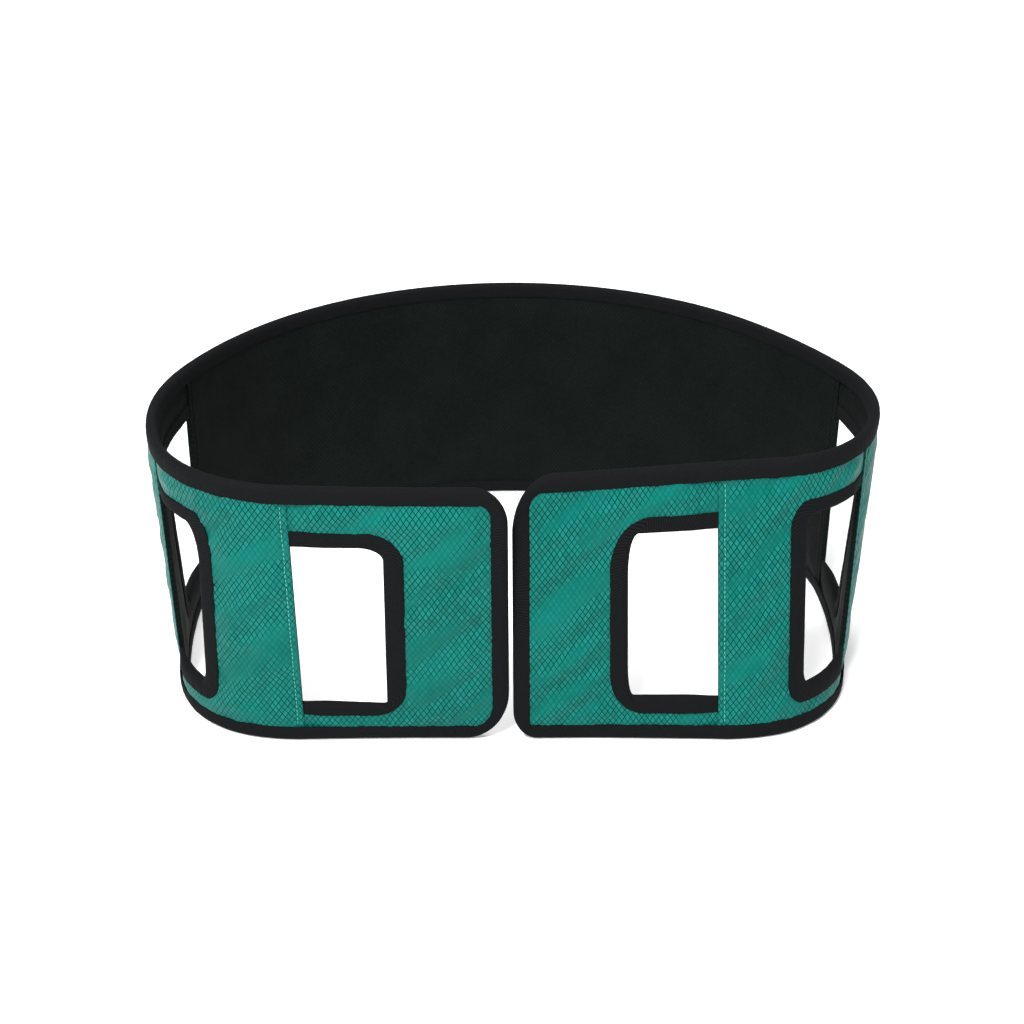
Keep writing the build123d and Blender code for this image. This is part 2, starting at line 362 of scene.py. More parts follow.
def rounding(f, radius):
    """Rises from 0 at a folded edge to 1 at a radius from it, as a quarter circle does."""
    return np.sqrt(1 - (1 - np.clip(f / radius, 0, 1)) ** 2)


def padded_half(panel, s, z):
    """Half thickness of the panel away from its hems, without its wrinkles."""
    inner = cloth_depth(panel, s, z) - TAPE_WIDTH
    d = UNDER_TAPE + (CROWN - UNDER_TAPE) * smooth(inner / PUFF_REACH)
    if panel.holed:
        tuck = TUCKED / UNDER_TAPE
        d = d * (tuck + (1 - tuck) * smooth((s - panel.start) / TAPE_RISE))
    return d


def hump(distance, pucker):
    """1 at a pucker's own distance from the sewing, falling to 0 on both sides."""
    return np.exp(-(((distance - pucker.away) / pucker.width) ** 2))


def wrinkles(panel, s, z, seed):
    """Soft diagonal creases of the shell, and small puckers where the binding is sewn."""
    q = signed(panel, s)
    right, up = -q, z
    bow = CREASE_BOW * soft_noise(right / BOW_SIZE, up / BOW_SIZE, seed)
    along = right * LEAN_COS + up * LEAN_SIN
    across = -right * LEAN_SIN + up * LEAN_COS + bow
    broad = soft_noise(along / BROAD.along, across / BROAD.across, seed + 1)
    sharp = 1 - 2 * np.abs(soft_noise(along / SHARP.along, across / SHARP.across, seed + 2))
    cross = soft_noise(across / CROSS.across + 3, along / CROSS.along, seed + 3)
    body = BROAD.share * broad + SHARP.share * sharp + CROSS.share * cross
    depth = cloth_depth(panel, s, z) - TAPE_WIDTH
    hem = hem_distance(panel, s) - STITCH_LINE
    behind = s - panel.start if panel.holed else np.full(np.shape(s), HEIGHT)
    calm = smooth(depth / CALM) * smooth(hem / CALM) * smooth((behind + 2) / 12)
    border = hump(depth, TAPE_PUCKER) * smooth(hem / 5) * smooth(behind / 8)
    pucker = soft_noise(q / PUCKER_SIZE, z / PUCKER_SIZE, seed + 4)
    sewn = hump(hem, STITCH_PUCKER) * smooth((depth + 4) / 4)
    gather = soft_noise(z / STITCH_PUCKER_SIZE, q / 30, seed + 5)
    return body * calm + TAPE_PUCKER.share * pucker * border + STITCH_PUCKER.share * gather * sewn


def kind(panel):
    """Which panel of its side this is: back, side, middle or end."""
    return panel.name.split("_")[-1]


def liveliness(panel):
    """How strongly a panel's shell is creased."""
    return LIVELINESS[kind(panel)]


def outside(panel, s, z):
    """Offset of the shell's outer face."""
    f = hem_distance(panel, s)
    hem = HEM_RIM + (hem_face(f) - HEM_RIM) * rounding(f, HEM_ROUND)
    smoothly = np.minimum(padded_half(panel, s, z), hem)
    return smoothly + SHELL_CREASE * liveliness(panel) * wrinkles(panel, s, z, 11 * panel.number)


def inside(panel, s, z):
    """Offset of the lining's inner face, which is calmer than the shell's."""
    f = hem_distance(panel, s)
    rim = -HEM_LAP + (HEM_UNDER + HEM_LAP) * beside_hole(panel, s, z)
    hem = rim + (-hem_face(f) - rim) * rounding(f, 1.5 * HEM_ROUND)
    smoothly = np.maximum(-padded_half(panel, s, z), hem)
    return smoothly - LINING_CREASE * wrinkles(panel, s, z, 501 + 11 * panel.number)


def settle(panel, grid):
    """Moves of the shell's points, in millimetres, from a cloth simulation. The cloth starts a
    little too large across the creases and is drawn back to its place at its sewn edges, so
    that the spare cloth buckles."""
    s, z, quads = grid
    q = signed(panel, s)
    home = wall(q, z, outside(panel, s, z)) * SIM_SCALE
    _, along, _ = wall_axes(q, z)
    rightward = np.where((q < 0)[:, None], along, -along)
    across = z * LEAN_COS + q * LEAN_SIN
    direction = LEAN_COS * np.array([0, 0, 1.0]) - LEAN_SIN * rightward
    spare = home + SPARE_CLOTH * across[:, None] * direction * MM * SIM_SCALE
    mesh = bpy.data.meshes.new("settling")
    mesh.from_pydata(spare.tolist(), [], (quads if panel.side == "left" else quads[:, ::-1]).tolist())
    cloth = bpy.data.objects.new("settling", mesh)
    bpy.context.scene.collection.objects.link(cloth)
    sewn = cloth_depth(panel, s, z) < TAPE_WIDTH + SEWN_BY_TAPE
    sewn |= hem_distance(panel, s) < STITCH_LINE + SEWN_BY_STITCH
    if panel.holed:
        sewn |= s - panel.start < BEND_END
    cloth.vertex_groups.new(name="sewn").add(np.flatnonzero(sewn).tolist(), 1.0, "REPLACE")
    cloth.shape_key_add(name="spare")
    key = cloth.shape_key_add(name="home")
    key.data.foreach_set("co", home.ravel())
    for value, moment in ((0, 1), (1, HOME_FRAME)):
        key.value = value
        key.keyframe_insert("value", frame=moment)
    modifier = cloth.modifiers.new("cloth", "CLOTH")
    settings = modifier.settings
    settings.vertex_group_mass = "sewn"
    settings.bending_stiffness = 6
    settings.shear_stiffness = 7.5
    settings.use_pressure = True
    settings.uniform_pressure_force = 0.3
    settings.air_damping = 2
    settings.effector_weights.gravity = 0
    modifier.collision_settings.use_collision = False
    modifier.point_cache.frame_end = SIM_FRAMES
    for moment in range(1, SIM_FRAMES + 1):
        bpy.context.scene.frame_set(moment)
    result = cloth.evaluated_get(bpy.context.evaluated_depsgraph_get())
    settled = np.empty(3 * len(s))
    result.data.vertices.foreach_get("co", settled)
    bpy.data.objects.remove(cloth)
    bpy.context.scene.frame_set(1)
    moves = (settled.reshape(-1, 3) - home) / SIM_SCALE / MM
    size = np.linalg.norm(moves, axis=1, keepdims=True)
    most = MOST_MOVE * liveliness(panel)
    return moves * np.minimum(1, most / np.maximum(size, most))


# ---------------------------------------------------------------- meshes


def add_object(name, points, faces, uv, material):
    """Object with a smooth mesh whose belt UV gives millimetres along and up the cloth."""
    mesh = bpy.data.meshes.new(name)
    mesh.from_pydata(points.reshape(-1, 3), [], faces)
    layer = mesh.uv_layers.new(name="belt")
    corners = np.empty(len(mesh.loops), int)
    mesh.loops.foreach_get("vertex_index", corners)
    layer.data.foreach_set("uv", uv.reshape(-1, 2)[corners].astype(np.float32).ravel())
    mesh.materials.append(material)
    mesh.shade_smooth()
    mesh.validate()
    obj = bpy.data.objects.new(name, mesh)
    bpy.context.scene.collection.objects.link(obj)
    return obj


def near_fold(length):
    """Distances from a folded edge, close together over the hem and wider further in."""
    close = [0, 0.25, 0.7, 1.2, 1.8, 2.7, 3.6, 4.2, 4.6, 5.0, 5.4, 5.8, 6.5, 7.6, 9.2]
    count = max(int(round((length - close[-1]) / GRID)), 1)
    return np.concatenate([close, np.linspace(close[-1], length, count + 1)[1:]])


def panel_rows(panel):
    """Distances at which a panel's grid has its rows."""
    if not panel.holed:
        half = near_fold(panel.end)
        return np.concatenate([-panel.end + half, (panel.end - half)[::-1][1:]])
    first = panel.start - TUCK
    if panel.flap:
        return np.linspace(first, panel.end, int(round((panel.end - first) / GRID)) + 1)
    return (panel.end - near_fold(panel.end - first))[::-1]


def trimmed_grid(panel):
    """Grid of a panel's cloth, cut back under the binding tape: distances, heights and quads."""
    rows = panel_rows(panel)
    columns = np.linspace(0, HEIGHT, int(HEIGHT / GRID) + 1)
    s, z = [a.ravel() for a in np.meshgrid(rows, columns, indexing="ij")]
    depth = cloth_depth(panel, s, z)
    step = 0.01
    slope_s = (cloth_depth(panel, s + step, z) - depth) / step
    slope_z = (cloth_depth(panel, s, z + step) - depth) / step
    near = np.abs(depth - TRIM) < 0.5 * GRID
    s = np.where(near, s - (depth - TRIM) * slope_s, s)
    z = np.where(near, z - (depth - TRIM) * slope_z, z)
    kept = (depth > TRIM) | near
    index = np.arange(len(s)).reshape(len(rows), len(columns))
    quads = np.stack([index[:-1, :-1], index[1:, :-1], index[1:, 1:], index[:-1, 1:]], -1)
    quads = quads.reshape(-1, 4)
    quads = quads[kept[quads].all(1)]
    used = np.unique(quads)
    renumber = np.full(len(s), -1)
    renumber[used] = np.arange(len(used))
    return s[used], z[used], renumber[quads]


def open_edges(quads):
    """Directed edges that belong to one quad only."""
    edges = np.concatenate([quads[:, [k, (k + 1) % 4]] for k in range(4)])
    key = np.sort(edges, 1)
    _, first, count = np.unique(key, axis=0, return_index=True, return_counts=True)
    return edges[first[count == 1]]


def layer(panel, grid, name, outer, inner, material):
    """Closed sheet between two faces over a panel's trimmed grid."""
    s, z, quads = grid
    points = np.concatenate([outer, inner])
    uv = np.concatenate([np.stack([-signed(panel, s), z], -1)] * 2)
    count = len(s)
    rim = open_edges(quads)
    sides = np.stack([rim[:, 1], rim[:, 0], rim[:, 0] + count, rim[:, 1] + count], -1)
    faces = np.concatenate([quads, quads[:, ::-1] + count, sides])
    if panel.side == "right":
        faces = faces[:, ::-1]
    return add_object(name, points, faces.tolist(), uv, material)


# ---------------------------------------------------------------- binding tape


def travelled(points):
    """Distance along a line through points, at each point."""
    return np.concatenate([[0], np.cumsum(np.linalg.norm(np.diff(points, axis=0), axis=1))])


def straight(a, b, count):
    """Evenly spaced points from a to b."""
    return np.array(a, float) + np.subtract(b, a) * np.linspace(0, 1, count + 1)[:, None]


def rounded(centre, radii, begin):
    """Points that turn a quarter clockwise round an elliptical corner, from an angle in degrees."""
    angle = np.radians(np.linspace(begin, begin - 90, 25))
    return np.array(centre) + np.stack([np.cos(angle), np.sin(angle)], -1) * radii


def outline(first, front, low, high, bottom, top, counts):
    """Points along the top, down the front and back along the bottom of an outline with rounded
    front corners. Outlines with the same counts have matching points."""
    parts = [
        straight((first, high), (front - top[0], high), counts[0]),
        rounded((front - top[0], high - top[1]), top, 90),
        straight((front, high - top[1]), (front, low + bottom[1]), counts[1]),
        rounded((front - bottom[0], low + bottom[1]), bottom, 0),
        straight((front - bottom[0], low), (first, low), counts[0]),
    ]
    return np.concatenate([part[min(k, 1):] for k, part in enumerate(parts)])


def flap_edges(panel):
    """Edge of an end flap and inner edge of its tape."""
    top, bottom = CORNER_TOP[panel.side], CORNER_BOTTOM[panel.side]
    first, end = panel.start - TAPE_OVERRUN, panel.end
    counts = int((end - first) / TAPE_STEP), int(HEIGHT / TAPE_STEP)
    edge = outline(first, end, 0, HEIGHT, bottom.edge, top.edge, counts)
    inner = outline(
        first, end - TAPE_WIDTH, TAPE_WIDTH, HEIGHT - TAPE_WIDTH, bottom.inner, top.inner, counts
    )
    return edge, inner


def straight_edges(panel, top):
    """Top or bottom edge of a panel and inner edge of its tape, stopping short of the next seam."""
    first = panel.start - TAPE_OVERRUN if panel.holed else panel.start + TAPE_OVERRUN
    last = panel.end - TAPE_OVERRUN
    count = int((last - first) / TAPE_STEP)
    z, inner = (HEIGHT, HEIGHT - TAPE_WIDTH) if top else (0, TAPE_WIDTH)
    return straight((first, z), (last, z), count), straight((first, inner), (last, inner), count)


def hole_edges(panel):
    """Rim of a hand-hole, round its three bound sides, and far edge of its tape."""
    hole = HOLES[panel.name]
    first, front = panel.start - TUCK + 1, panel.start + hole.length
    counts = int((front - first) / TAPE_STEP), int((hole.high - hole.low) / TAPE_STEP)
    over, ahead, under = hole.tape
    rim = outline(first, front, hole.low, hole.high, hole.bottom, hole.top, counts)
    far = outline(
        first, front + ahead, hole.low - under, hole.high + over, hole.far_bottom, hole.far_top, counts
    )
    fall = np.clip((hole.high - rim[:, 1]) / (hole.high - hole.low), 0, 1)
    along = np.clip((rim[:, 0] - panel.start) / hole.length, 0, 1)
    move = np.stack([-hole.lean * fall * along, hole.drop * (0.5 - along) * fall**4], -1)
    far_move = np.stack([move[:, 0], 0 * fall], -1)
    return rim + move, far + far_move


def tape_profile():
    """Section of a folded tape: depths from the bound edge as shares of its width, and offsets
    as shares of its half thickness. It runs round the outside, then back round the inside."""
    half = [
        (1.0, 0.72), (1.0, 0.87), (0.96, 0.94), (0.84, 0.975), (0.62, 1.0), (0.42, 0.995),
        (0.25, 0.94), (0.13, 0.8), (0.045, 0.56), (0.005, 0.24),
    ]
    back = [(0.1, -0.14), (0.16, -0.45), (0.3, -0.68), (0.6, -0.76)]
    outer = half + [(e, -d) for e, d in reversed(half)]
    inner = [(e, d) for e, d in reversed(back)] + [(e, -d) for e, d in back]
    return np.array(outer + inner)


def tape(panel, name, edges, material, tucked=False):
    """Tape folded over an edge of the belt, from the edge to the tape's own far edge."""
    near, far = (close_ended(points) for points in edges)
    inward = far - near
    width = np.linalg.norm(inward, axis=1)[:, None]
    run = travelled(near)
    s0, z0 = far[:, :1], far[:, 1:]
    q0 = signed(panel, s0)
    profile = tape_profile()
    wave = uneven(q0, z0, EDGE_WAVER, 71) * smooth((profile[None, :, 0] - 0.55) / 0.4)
    swell = 1 + uneven(q0, z0, TAPE_SWELL, 73)
    depth = profile[None, :, 0] + wave / width
    offset = profile[None, :, 1] * TAPE_HALF * swell
    if tucked:
        pinch = TAPE_TUCKED / TAPE_HALF
        rise = smooth((near[:, :1] - panel.start + 1) / TAPE_RISE)
        offset = offset * (pinch + (1 - pinch) * rise)
    s = near[:, :1] + inward[:, :1] * depth
    z = near[:, 1:] + inward[:, 1:] * depth
    q = signed(panel, s)
    vertices = wall(q, z, offset)
    rows, columns = offset.shape
    index = np.arange(rows * columns).reshape(rows, columns)
    following = np.roll(index, -1, axis=1)
    quads = np.stack([index[:-1], following[:-1], following[1:], index[1:]], -1).reshape(-1, 4)
    faces = quads.tolist() + [index[0, ::-1].tolist(), index[-1].tolist()]
    if not tape_faces_out(vertices, quads, columns):
        faces = [face[::-1] for face in faces]
    across = travelled(profile * [TAPE_WIDTH, TAPE_HALF])
    uv = np.stack(np.broadcast_arrays(run[:, None], across[None, :]), -1)
    return add_object(name, vertices, faces, uv, material)


def close_ended(points):
    """The line with another point close to each end, so that the end caps don't show in the
    shading of the tape."""
    first = points[0] + 0.04 * (points[1] - points[0])
    last = points[-1] + 0.04 * (points[-2] - points[-1])
    return np.concatenate([points[:1], [first], points[1:-1], [last], points[-1:]])


def tape_faces_out(vertices, quads, columns):
    """Whether the first quads of a tape face away from the middle of its section."""
    flat = vertices.reshape(-1, 3)
    centre = vertices[:2].reshape(-1, 3).mean(0)
    a, b, c, d = (flat[quads[:columns, k]] for k in range(4))
    normal = np.cross(c - a, d - b)
    return ((normal * ((a + c) / 2 - centre)).sum(1)).sum() > 0


# ---------------------------------------------------------------- topstitching


def stitch_mesh(name, starts, ends, normals, radius, material):
    """Row of short stitches, each a thread that rises out of the cloth and goes back in."""
    rings, sides = 7, 6
    t = np.linspace(0, 1, rings)
    lift = np.sin(np.pi * t) ** 0.6
    starts, ends, normals = (np.asarray(a)[:, None, :] for a in (starts, ends, normals))
    centre = starts + (ends - starts) * t[None, :, None]
    centre = centre + normals * (lift * 1.3 * radius - 0.9 * radius)[None, :, None]
    along = ends - starts
    along = along / np.linalg.norm(along, axis=-1, keepdims=True)
    width = np.cross(along, normals)
    girth = radius * (0.55 + 0.45 * np.sin(np.pi * t))[None, :, None, None]
    angle = np.linspace(0, 2 * np.pi, sides, endpoint=False)[None, None, :, None]
    ring = np.cos(angle) * width[:, :, None, :] + np.sin(angle) * normals[:, :, None, :]
    points = centre[:, :, None, :] + girth * ring
    count = len(points)
    index = np.arange(count * rings * sides).reshape(count, rings, sides)
    following = np.roll(index, -1, axis=2)
    quads = [index[:, :-1], following[:, :-1], following[:, 1:], index[:, 1:]]
    quads = np.stack(quads, -1).reshape(-1, 4).tolist()
    caps = index[:, 0, ::-1].tolist() + index[:, -1].tolist()
    uv = np.stack(np.broadcast_arrays(index, index), -1).astype(float)
    return add_object(name, points, quads + caps, uv, material)


def hem_stitching(panel, name, fold, face, material):
    """Topstitching down a hem, on its outer or its inner face."""
    toward = 1 if fold > 0 else -1
    low = np.arange(TAPE_WIDTH + 1.5, HEIGHT - TAPE_WIDTH - 4, STITCH_PITCH)
    s = fold - toward * STITCH_LINE + 0.25 * soft_noise(low / 9, low * 0, 31 * toward + 40)
    starts, ends = (wall(signed(panel, s), z, face(panel, s, z)) for z in (low, low + STITCH_LENGTH))
    normals = wall_axes(signed(panel, s), low)[2] * (1 if face is outside else -1)
    return stitch_mesh(name, starts, ends, normals, STITCH_RADIUS * MM, material)


# ---------------------------------------------------------------- materials


class Nodes:
    """Short names for making and linking a material's nodes."""

    def __init__(self, name):
        self.material = bpy.data.materials.new(name)
        self.material.use_nodes = True
        self.tree = self.material.node_tree
        self.shader = self.tree.nodes["Principled BSDF"]

    def feed(self, socket, value):
        if isinstance(value, bpy.types.NodeSocket):
            self.tree.links.new(value, socket)
        elif value is not None:
            socket.default_value = value

    def math(self, operation, a, b=None):
        node = self.tree.nodes.new("ShaderNodeMath")
        node.operation = operation
        for socket, value in zip(node.inputs, (a, b)):
            self.feed(socket, value)
        return node.outputs[0]

    def uv(self):
        node = self.tree.nodes.new("ShaderNodeUVMap")
        node.uv_map = "belt"
        split = self.tree.nodes.new("ShaderNodeSeparateXYZ")
        self.tree.links.new(node.outputs[0], split.inputs[0])
        return split.outputs[0], split.outputs[1]

    def noise(self, x, y, scale, detail=2.0, rough=0.5):
        place = self.tree.nodes.new("ShaderNodeCombineXYZ")
        self.feed(place.inputs[0], x)
        self.feed(place.inputs[1], y)
        node = self.tree.nodes.new("ShaderNodeTexNoise")
        self.tree.links.new(place.outputs[0], node.inputs["Vector"])
        node.inputs["Scale"].default_value = scale
        node.inputs["Detail"].default_value = detail
        node.inputs["Roughness"].default_value = rough
        return node.outputs["Fac"]

    def ramp(self, value, low, high, to_low=0.0, to_high=1.0):
        node = self.tree.nodes.new("ShaderNodeMapRange")
        node.interpolation_type = "SMOOTHSTEP"
        self.feed(node.inputs["Value"], value)
        limits = {"From Min": low, "From Max": high, "To Min": to_low, "To Max": to_high}
        for name, number in limits.items():
            self.feed(node.inputs[name], number)
        return node.outputs[0]

    def mix(self, share, a, b):
        node = self.tree.nodes.new("ShaderNodeMix")
        node.data_type = "RGBA"
        self.feed(node.inputs["Factor"], share)
        for key, value in (("A", a), ("B", b)):
            socket = [i for i in node.inputs if i.name == key and i.type == "RGBA"][0]
            self.feed(socket, (*value, 1) if isinstance(value, tuple) else value)
        return [o for o in node.outputs if o.type == "RGBA"][0]

    def bump(self, height, strength, distance):
        node = self.tree.nodes.new("ShaderNodeBump")
        node.inputs["Strength"].default_value = strength
        node.inputs["Distance"].default_value = distance
        self.feed(node.inputs["Height"], height)
        self.feed(self.shader.inputs["Normal"], node.outputs[0])

    def finish(self, color, roughness, sheen=0.0, sheen_roughness=0.5, specular=0.5):
        self.feed(self.shader.inputs["Base Color"], color)
        self.feed(self.shader.inputs["Roughness"], roughness)
        self.shader.inputs["Sheen Weight"].default_value = sheen
        self.shader.inputs["Sheen Roughness"].default_value = sheen_roughness
        self.shader.inputs["Specular IOR Level"].default_value = specular
        return self.material


def diamond_lines(n, x, y, width, height, line):
    """Masks of a grid of crossing diagonal threads and of the cells between them, and a random
    shade for each cell."""
    waver = n.math("MULTIPLY", n.math("SUBTRACT", n.noise(x, y, scale=0.12), 0.5), 0.35)
    across = n.math("DIVIDE", x, width)
    up = n.math("ADD", n.math("DIVIDE", y, height), waver)
    masks, middles, cells = [], [], []
    for operation in ("ADD", "SUBTRACT"):
        diagonal = n.math(operation, across, up)
        away = n.math("ABSOLUTE", n.math("SUBTRACT", n.math("FRACT", diagonal), 0.5))
        masks.append(n.ramp(away, 0.5 - line, 0.5 - line * 0.6))
        middles.append(n.ramp(away, 0.5, 0.32))
        cells.append(n.math("FLOOR", diagonal))
    lines = n.math("MAXIMUM", masks[0], masks[1])
    middle = n.math("MULTIPLY", middles[0], middles[1])
    return lines, middle, n.noise(cells[0], cells[1], scale=7.3, detail=0.0)


def ripstop():
    """Green ripstop nylon: a diamond grid of darker threads that shows in slanting stripes of painted
    sheen, cells with a painted highlight between them, and painted shade in slanting clouds."""
    n = Nodes("green_ripstop_cloth")
    x, y = n.uv()
    along = n.math("ADD", n.math("MULTIPLY", x, LEAN_COS), n.math("MULTIPLY", y, LEAN_SIN))
    across = n.math("SUBTRACT", n.math("MULTIPLY", y, LEAN_COS), n.math("MULTIPLY", x, LEAN_SIN))
    shaded, plain, lit = (0.0012, 0.094, 0.076), (0.002, 0.13, 0.106), (0.008, 0.182, 0.155)
    woven, dark_thread = (0.002, 0.095, 0.075), (0.0005, 0.02, 0.017)
    lines, cell, shade = diamond_lines(n, x, y, width=4.0, height=5.8, line=0.1)
    # The threads and the cells' highlights show only where this noise is high: painted sheen, which on
    # real nylon comes and goes with the light
    sheen_bands = n.noise(n.math("MULTIPLY", along, 0.3), across, scale=0.05, detail=2.0)
    fade = n.ramp(sheen_bands, 0.38, 0.53, to_low=0.3)
    weave = n.noise(x, y, scale=2.4, detail=1.0)
    # Clouds stretched along the creases' lean blend shaded into plain green: painted shade
    shade_cloud = n.noise(n.math("MULTIPLY", along, 0.4), across, scale=0.03, detail=3.0, rough=0.6)
    green = n.mix(n.ramp(shade_cloud, 0.3, 0.7), shaded, plain)
    # Cell middles are lightened towards lit green, more in some cells than others: a painted highlight
    sparkle = n.ramp(shade, 0.3, 0.7, to_low=0.25, to_high=0.8)
    green = n.mix(n.math("MULTIPLY", n.math("MULTIPLY", cell, fade), sparkle), green, lit)
    green = n.mix(n.math("MULTIPLY", weave, 0.2), green, woven)
    threads_in_sheen = n.math("MULTIPLY", lines, n.math("MULTIPLY", fade, 0.97))
    green = n.mix(threads_in_sheen, green, dark_thread)
    height = n.math("SUBTRACT", n.math("MULTIPLY", weave, 0.25), lines)
    n.bump(height, strength=0.3, distance=0.12 * MM)
    return n.finish(green, roughness=0.42, sheen=0.006, sheen_roughness=0.4, specular=0.05)


def binding_tape():
    """Black twill tape with fine slanting ribs."""
    n = Nodes("black_twill_tape")
    x, y = n.uv()
    slant = n.math("ADD", n.math("DIVIDE", x, 1.9), n.math("DIVIDE", y, 2.6))
    rib = n.math("ABSOLUTE", n.math("SUBTRACT", n.math("FRACT", slant), 0.5))
    rib = n.ramp(rib, 0.08, 0.42)
    fuzz = n.noise(x, y, scale=1.6, detail=3.0, rough=0.65)
    patch = n.noise(x, y, scale=0.05, detail=2.0)
    # Rib colour, darker in the furrows than on the ridges: the twill's pattern with painted shade in
    # its furrows, on top of the ribs' bump
    furrow_shade, ridge = (0.0018, 0.0022, 0.0023), (0.0078, 0.0084, 0.009)
    fibre, worn = (0.013, 0.0133, 0.0148), (0.005, 0.005, 0.0055)
    black = n.mix(rib, furrow_shade, ridge)
    black = n.mix(n.math("MULTIPLY", fuzz, 0.4), black, fibre)
    black = n.mix(n.math("MULTIPLY", patch, 0.4), black, worn)
    n.bump(n.math("ADD", rib, n.math("MULTIPLY", fuzz, 0.6)), strength=0.5, distance=0.18 * MM)
    return n.finish(black, roughness=0.8, sheen=0.006, sheen_roughness=0.6, specular=0.024)


def mesh_lining():
    """Black lining with a fine diamond mesh."""
    n = Nodes("black_lining_cloth")
    x, y = n.uv()
    lines, _, shade = diamond_lines(n, x, y, width=3.4, height=4.6, line=0.3)
    weave = n.noise(x, y, scale=2.2, detail=2.0)
    patch = n.ramp(n.noise(x, y, scale=0.02, detail=2.0), 0.35, 0.65)
    shaded, plain = (0.0032, 0.005, 0.0046), (0.0055, 0.008, 0.0075)
    lit, holes = (0.012, 0.017, 0.0155), (0.0025, 0.0035, 0.0032)
    black = n.mix(patch, shaded, plain)
    black = n.mix(n.math("MULTIPLY", shade, 0.4), black, lit)
    black = n.mix(n.math("MULTIPLY", lines, 0.6), black, holes)
    height = n.math("SUBTRACT", n.math("MULTIPLY", weave, 0.4), lines)
    n.bump(height, strength=0.45, distance=0.15 * MM)
    return n.finish(black, roughness=0.7, sheen=0.005, sheen_roughness=0.5, specular=0.035)


def padding():
    """Grey needled padding."""
    n = Nodes("grey_padding")
    x, y = n.uv()
    fibre = n.noise(x, y, scale=0.9, detail=4.0, rough=0.7)
    grey = n.mix(fibre, (0.18, 0.18, 0.185), (0.33, 0.33, 0.34))
    n.bump(fibre, strength=0.6, distance=0.4 * MM)
    return n.finish(grey, roughness=0.95, specular=0.2)


def thread(name, dark, light, shine):
    """Twisted polyester thread."""
    n = Nodes(name)
    x, y = n.uv()
    twist = n.noise(x, y, scale=0.7, detail=1.0)
    n.bump(twist, strength=0.3, distance=0.05 * MM)
    color = n.mix(twist, dark, light)
    return n.finish(color, roughness=0.5, sheen=0.1 * shine, specular=shine)


# ---------------------------------------------------------------- the pieces


def attach(piece, panel):
    """A piece of a panel without a hand-hole moves with its panel; a piece of any other panel has its
    place baked into its mesh.
    """
    if not panel.holed:
        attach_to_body(piece, panel.body)
        return
    point, along, _ = (a[()] for a in wall_axes(signed(panel, panel.start), HEIGHT / 2))
    joint = [j for j in frame["joints"] if j["child"] == panel.body][0]
    axis = np.array(joint["axis"])
    across = along - axis * (along @ axis)
    across = across / np.linalg.norm(across)
    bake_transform(piece)


def place(piece, panel, slot, *nodes):
    """Attach a piece and hide the parts of the model that it stands for."""
    attach(piece, panel)
    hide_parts(*nodes)
    return piece


def cloth_layers(panel, cloths):
    """Shell, padding and lining of a panel."""
    grid = trimmed_grid(panel)
    s, z, _ = grid
    q = signed(panel, s)
    top, bottom = outside(panel, s, z), inside(panel, s, z)
    moves = settle(panel, grid) * MM
    shell_out, shell_in = wall(q, z, top) + moves, wall(q, z, top - CLOTH) + moves
    shell = layer(panel, grid, f"{panel.name}_shell_cloth", shell_out, shell_in, cloths["shell"])
    hems = [f"{panel.name}_hem"] if panel.holed else ["back_left_hem", "back_right_hem"]
    place(shell, panel, "green_ripstop", f"{panel.name}_shell", *([] if panel.flap else hems))
    back = s - PAD_BACK * (1 - smooth(hem_distance(panel, s) / (2 * PAD_BACK))) * np.sign(s)
    above, below = outside(panel, back, z), inside(panel, back, z)
    middle = (above + below) / 2
    pad_top = np.maximum(above - CLOTH - GAP, middle + GAP / 2)
    pad_bottom = np.minimum(below + CLOTH + GAP, middle - GAP / 2)
    pad_out, pad_in = (wall(signed(panel, back), z, d) for d in (pad_top, pad_bottom))
    pad_out = pad_out + moves
    pad = layer(panel, grid, f"{panel.name}_padding", pad_out, pad_in, cloths["pad"])
    place(pad, panel, "foam_padding", f"{panel.name}_pad")
    # Beside a fold the lining's black edge stands out past the shell: a dark line that is a painted
    # shadow of the fold
    lip = HEM_LIP * (1 - smooth(hem_distance(panel, s) / 2)) * np.sign(s)
    lining_out, lining_in = (wall(signed(panel, s + lip), z, d) for d in (bottom + CLOTH, bottom))
    lining = layer(panel, grid, f"{panel.name}_lining_cloth", lining_out, lining_in, cloths["lining"])
    place(lining, panel, "black_mesh_lining", f"{panel.name}_lining")


def panel_tapes(panel, cloth):
    """Binding tape of a panel, round the belt's edge and round the hand-hole."""
    slot = "black_binding_tape"
    if panel.flap:
        edge = tape(panel, f"{panel.name}_edge_tape", flap_edges(panel), cloth)
        place(edge, panel, slot, f"{panel.name}_edge_binding")
    else:
        for level in ("top", "bottom"):
            edges = straight_edges(panel, level == "top")
            edge = tape(panel, f"{panel.name}_{level}_tape", edges, cloth)
            place(edge, panel, slot, f"{panel.name}_{level}_binding")
    if panel.holed:
        ring = tape(panel, f"{panel.name}_hole_tape", hole_edges(panel), cloth, tucked=True)
        place(ring, panel, slot, f"{panel.name}_hole_binding")


def panel_stitching(panel, threads):
    """Topstitching of a panel's hems, which ride with the panel: green outside, black inside."""
    if panel.flap:
        return
    folds = {f"{panel.name}_hem": panel.end}
    if not panel.holed:
        folds = {"back_left_hem": panel.start, "back_right_hem": panel.end}
    for name, fold in folds.items():
        row = hem_stitching(panel, f"{name}_stitching", fold, outside, threads["green"])
        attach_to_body(row, panel.body)
        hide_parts(f"{name}_thread")
        under = hem_stitching(panel, f"{name}_bobbin_stitching", fold, inside, threads["black"])
        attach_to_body(under, panel.body)


# ---------------------------------------------------------------- studio


